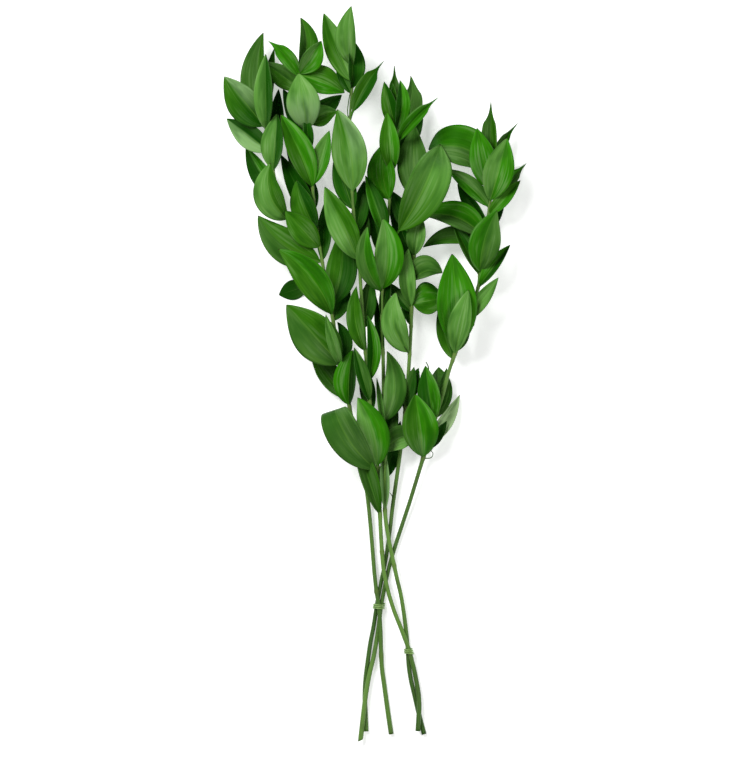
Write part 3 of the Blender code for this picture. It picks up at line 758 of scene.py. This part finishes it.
stemC = {
    "node": "leafy_stem_c",
    "piece": "stemC",
    "firstLeaf": 61,
    "route": [
        (45.0, 6.0, 2.5), (42.6, 15.0, 2.6), (40.4, 24.0, 2.6), (38.3, 33.0, 2.6), (36.2, 42.0, 2.7),
        (33.6, 53.0, 3.0), (31.9, 63.0, 3.2), (31.0, 72.0, 3.5), (30.6, 80.0, 3.7), (29.8, 90.0, 4.2),
        (28.6, 101.0, 5.0), (26.8, 115.0, 6.2), (24.3, 130.0, 7.4), (21.2, 143.0, 8.4),
        (18.4, 156.0, 9.0), (15.0, 172.0, 9.2), (12.4, 186.0, 9.6), (10.4, 202.0, 10.2),
        (10.2, 218.0, 10.8), (10.6, 240.0, 12.5), (9.2, 285.0, 18.0), (8.8, 330.0, 22.0),
        (8.0, 365.0, 24.0), (7.6, 400.0, 25.0), (11.5, 446.0, 26.0), (14.2, 478.0, 27.0),
        (16.8, 508.0, 28.0), (20.4, 540.0, 29.0), (22.4, 556.0, 30.0)],
    "tones": [(0, 1.0), (75, 0.85), (110, 0.45), (160, 0.1), (260, 0.15), (400, 0.1), (560, 0.3)],
    "knuckles": [156.0],
    "slant": 0.0,
    "twigs": [],
    "leaves": [
        (545, 18.5, 599, 6, 4, 0, -13, "ng", 0, 0.03, 0.6), (540, 9.5, 584, 8, 6, 0, 7, "nd"),
        (541, 23.5, 585, 5, 8, -3, 15, "db"), (546, 17, 583, 3, 3, 0, -1, "bn"),
        (539, 33, 590, 8, 11, -6, -9, "gg", 0, 0.03, 0.4), (529, 57.5, 570, 6, 5, 2, 18, "bb", 0, 0.03, 0.7),
        (520, 44, 552, 8, 9, 0, -11, "dd"), (503, 12, 557, 9, 9, 0, 14, "nb"),
        (479, 10, 530, 14, 11, 4, 1, "bb"), (447, -7, 501, 6, 9, 0, 7, "bd"),
        (400, 8.5, 463, 12, 14, -5, 20, "pb"), (398, -5, 456, 9, 8, 8, 26, "gb"),
        (283, 12, 346, 9, 11, -8, 3, "pg"), (204, 9, 262, 4, 4.5, 0, -3, "ww"),
        (232, 24, 284, 6, 8, 0, -19, "dd"), (256, 38, 270, 12, 9, 5, 3, "gp", 60),
        (276, 3, 322, 2.5, 2.5, 0, 1, "pp"), (345, 2, 395, 4, 3, 0, -9, "dd"),
        (290, 28, 325, 3, 5, 0, -9, "dd"), (436, 59, 529, 15, 21, -5, 32, "nnpp", 60, 0.17),
        (425, -4, 480, 6, 6, 0, -9, "kd"), (262, 20, 302, 7, 7, 0, -9, "dg"),
        (375, 13, 415, 5, 5, 0, -5, "kk"),
    ],
}
stemD = {
    "node": "leafy_stem_d",
    "piece": "stemD",
    "firstLeaf": 91,
    "route": [
        (-6.4, 8.5, 2.6), (-7.1, 25.0, 2.4), (-7.6, 40.0, 2.4), (-6.9, 55.0, 2.5), (-5.1, 70.0, 2.8),
        (-2.7, 87.0, 3.1), (0.4, 103.0, 3.4), (2.9, 120.0, 3.6), (4.9, 131.0, 3.6), (7.0, 142.0, 3.5),
        (9.2, 152.0, 3.4), (11.2, 163.0, 3.4), (13.0, 175.0, 3.6), (15.0, 190.0, 4.2),
        (17.3, 210.0, 5.4), (23.6, 255.0, 9.5), (29.2, 303.0, 15.0), (32.8, 356.0, 19.0),
        (34.5, 400.0, 21.0), (36.8, 440.0, 22.0), (40.7, 480.0, 23.0), (41.8, 500.0, 23.5)],
    "tones": [(0, 0.5), (50, 0.8), (115, 1.0), (200, 0.6), (300, 0.35), (400, 0.15), (500, 0.2)],
    "knuckles": [],
    "slant": 0.0,
    "twigs": [
        ([(17.6, 215.5, 6.2), (16.0, 218.5, 8.5), (14.6, 220.5, 9.5)], 0.45, 0.3, 1.0),
        ([(31.6, 344.0, 19.5), (28.6, 348.0, 24.5), (25.6, 352.5, 26.5)], 0.5, 0.4, 1.0),
    ],
    "leaves": [
        (478, 37, 545, 15, 13, 3, 3, "gg"), (430, 42, 467, 10, 7, 0, 11, "gp"),
        (408, 61, 415, 15, 5, 5, 11, "gg"), (388, 63, 393, 17, 12, 0, 1, "bn", 30),
        (344, 20, 398, 11.5, 11, 8, 20, "pp"), (380, 11, 408, 5, 6, 0, -9, "dg"),
        (368, 24, 402, 4, 4, 0, -13, "dd"), (298, 40, 331, 7, 6, 0, -3, "dd"),
        (292, 27, 323, 3, 2.5, 0, -9, "dd"), (448, 16, 488, 9, 8, 0, -9, "dd"),
        (425, 14, 480, 7, 6, 0, -15, "kd"), (405, 25, 455, 7, 6, 0, -13, "dd"),
        (384, 31, 437, 7, 8, 3, 11, "gp"), (295, 36, 332, 6, 6, 0, 5, "gd"),
    ],
}
stemE = {
    "node": "leafy_stem_e",
    "piece": "stemE",
    "firstLeaf": 111,
    "route": [
        (-11.5, 0.6, 6.2), (-10.0, 14.0, 6.6), (-8.3, 29.0, 6.9), (-6.5, 43.0, 6.6), (-3.4, 60.0, 5.6),
        (-0.2, 73.0, 4.8), (2.3, 86.0, 4.2), (4.8, 103.0, 3.7), (6.9, 120.0, 3.6), (8.9, 131.0, 3.6),
        (11.1, 142.0, 3.5), (13.4, 152.0, 3.4), (16.0, 162.0, 3.6), (20.6, 177.0, 4.2),
        (28.2, 200.0, 5.6), (33.4, 216.0, 7.0), (44.0, 251.0, 11.0), (54.2, 285.0, 15.0),
        (61.0, 306.0, 17.0), (66.6, 327.0, 19.0), (72.0, 343.0, 20.0), (79.0, 362.0, 21.0),
        (86.0, 382.0, 22.0), (92.6, 402.0, 23.0), (94.6, 418.0, 23.5), (98.2, 440.0, 24.0),
        (101.0, 460.0, 24.5), (103.2, 480.0, 25.0), (104.4, 506.0, 25.5)],
    "tones": [(0, 0.15), (60, 0.2), (110, 0.7), (200, 0.75), (270, 0.5), (330, 0.2), (500, 0.15)],
    "knuckles": [478.0],
    "slant": 0.6,
    "twigs": [
        ([(46.0, 251.0, 12.0), (51.0, 251.5, 14.0), (52.8, 255.0, 14.5), (51.0, 258.0, 14.0)], 0.5, 0.3, 0.9),
        ([(82.0, 369.0, 22.0), (86.5, 372.5, 25.0), (89.2, 369.5, 26.0), (86.6, 366.5, 25.5)], 0.5, 0.3, 0.3),
        ([(47.4, 326.0, 28.6), (48.8, 331.0, 30.4), (46.6, 336.5, 31.5)], 0.7, 0.4, 1.0),
    ],
    "leaves": [
        (500, 104, 567, 9, 5, 0, 1, "gn", 0, 0.03, 0.6), (488, 91.5, 543, 13, 11, 0, 11, "bb"),
        (500, 128, 548, 5, 4, 4, -15, "gb", 0, 0.03, 0.6), (478, 118, 534, 13, 14, 0, 20, "pb"),
        (480, 136, 513, 6, 6, 0, -26, "bg", 0, 0.03, 0.6), (473, 65, 507, 6, 9, -2, 1, "bg"),
        (503, 49, 525, 16, 20, -12, -3, "gb", 60), (458, 74.5, 494, 8, 4, 0, -9, "dd"),
        (445, 43, 466, 9, 15, -9, 1, "gb"), (440, 44, 438, 6, 10, -8, -9, "ng"),
        (415, 109, 470, 13, 15, 4, 20, "bg"), (413, 69.5, 461, 4, 8, 0, 5, "nd"),
        (402, 121, 440, 8, 4, 0, 1, "bd"), (372, 110.5, 411, 7, 6, 0, 11, "pp"),
        (348, 69.5, 432, 17, 19, -1, 17, "bb"), (343, 84, 400, 12, 8, 0, 22, "pp"),
        (345, 85, 374, 2.5, 6, 0, -9, "nn"), (251, 37, 308, 15, 17, 0, 22, "nb"),
        (283, 46, 333, 11, 9, 0, 15, "db"), (285, 58, 332, 8, 14, 0, -9, "gg", 50),
        (262, 76.5, 307, 6, 7, -2, -9, "ss"), (258, 65, 284, 4, 6, 0, 3, "kk"),
        (253, 57, 271, 2.5, 3, 0, -26, "pp"), (450, 116, 475, 3, 4, 0, -26, "kk"),
        (466, 130, 497, 7, 6, 0, 1, "nb"), (338, 58, 385, 8, 8, 0, -9, "nd"),
        (290, 65, 331, 4, 7, 0, -7, "gg"),
    ],
}
stems = [stemA, stemB, stemC, stemD, stemE]
noise.seed_set(7)
stemMaterial = stemFinish("ribbedStem", stemLook)
leafMaterial = leafFinish("driedLeaf", leafLook)
for look in stems:
    leafyStem(look, leafMaterial, stemMaterial)

# The two wire ties
wire = {
    "turns": 3,
    "pitch": 1.5,
    "steps": 40,            # points in one turn
    "around": 12,
    "radius": 0.6,
    "clear": 0.3,           # room between the wire and the stems
    "ribRoom": 1.08,        # allowance for a stem's ribs, on its radius
}
tieLeft = {
    "node": "tie_left",
    "piece": "tieLeft",
    "start": 117.5,
    "holds": ["leafy_stem_a", "leafy_stem_d", "leafy_stem_e"],
}
tieRight = {
    "node": "tie_right",
    "piece": "tieRight",
    "start": 77.5,
    "holds": ["leafy_stem_b", "leafy_stem_c"],
}


def wireTie(look, routes, material):
    # a thin covered wire wound round the stems it holds
    points = []
    for step in range(wire["turns"] * wire["steps"] + 1):
        angle = 2 * math.pi * step / wire["steps"]
        y = look["start"] + wire["pitch"] * step / wire["steps"]
        facing = Vector((math.cos(angle), math.sin(angle)))
        reach = wire["radius"] + wire["clear"] + radiusAt(y) * wire["ribRoom"]
        centres = [Vector(atHeight(routes[name], y)) for name in look["holds"]]
        outer = max(centres, key=lambda centre: centre.dot(facing))
        spot = outer + facing * reach
        points.append(Vector((spot.x, y, spot.y)))
    count = len(points)
    shape = rodMesh(points, [wire["radius"]] * count, [0.0] * count, [], wire["around"], 0.0)
    piece = joined(look["piece"], [shape], material)
    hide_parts(look["node"])


routes = {look["node"]: look["route"] for look in stems}
wireMaterial = wireFinish("coveredWire", wireLook)
for look in (tieLeft, tieRight):
    wireTie(look, routes, wireMaterial)
print("ties wound")

# Floor, light and camera; lengths in metres unless the comment says otherwise
studio = {
    "floorSize": 4.0,
    "floorDrop": 0.0004,
    "floorColour": (0.86, 0.86, 0.86, 1),
    "floorRoughness": 0.9,
    "floorGlow": 0.44,
    "glowColour": (1, 1, 1, 1),
    "key": {"power": 74.0, "size": 1.3, "spot": (-1.1, 1.2, 2.2)},
    "fill": {"power": 26.0, "size": 1.6, "spot": (1.7, -0.6, 1.9)},
    "worldColour": (1, 1, 1, 1),
    "worldLight": 0.24,
    "cameraAbove": 8.0,
    "cameraReach": 50.0,
    "sensor": 36.0,         # millimetres, as the next four
    "viewX": -2.8,
    "viewY": -4.8,
    "viewTall": 672.6,      # how much of the bunch's plane the picture takes in
    "viewLevel": 25.0,      # height of that plane
}


def floorFinish(look):
    material, shader = newMaterial("paleFloor")[:2]
    shader.inputs["Base Color"].default_value = look["floorColour"]
    shader.inputs["Roughness"].default_value = look["floorRoughness"]
    shader.inputs["Emission Color"].default_value = look["glowColour"]
    shader.inputs["Emission Strength"].default_value = look["floorGlow"]
    return material


floorShape = bmesh.new()
bmesh.ops.create_grid(floorShape, x_segments=1, y_segments=1, size=studio["floorSize"])
for vertex in floorShape.verts:
    vertex.co.z = -studio["floorDrop"]
floorMesh = bpy.data.meshes.new("floor")
floorShape.to_mesh(floorMesh)
floorShape.free()
floorMesh.materials.append(floorFinish(studio))
placed("floor", floorMesh)


def softLight(name, look):
    light = bpy.data.lights.new(name, "AREA")
    light.shape = "DISK"
    light.size = look["size"]
    light.energy = look["power"]
    lamp = placed(name, light)
    lamp.location = look["spot"]
    lamp.rotation_mode = "QUATERNION"
    lamp.rotation_quaternion = (-Vector(look["spot"])).to_track_quat("-Z", "Y")


softLight("keyLight", studio["key"])
softLight("fillLight", studio["fill"])
world = bpy.data.worlds.new("studioWorld")
world.use_nodes = True
background = world.node_tree.nodes["Background"]
background.inputs["Color"].default_value = studio["worldColour"]
background.inputs["Strength"].default_value = studio["worldLight"]
bpy.context.scene.world = world
bpy.context.scene.view_settings.view_transform = "Standard"

camera = bpy.data.cameras.new("camera")
camera.sensor_width = studio["sensor"]
distance = studio["cameraAbove"] - studio["viewLevel"] * mm
camera.lens = camera.sensor_width * distance / (studio["viewTall"] * mm)
camera.clip_end = studio["cameraReach"]
eye = placed("camera", camera)
eye.location = (studio["viewX"] * mm, studio["viewY"] * mm, studio["cameraAbove"])
bpy.context.scene.camera = eye
print("studio set")
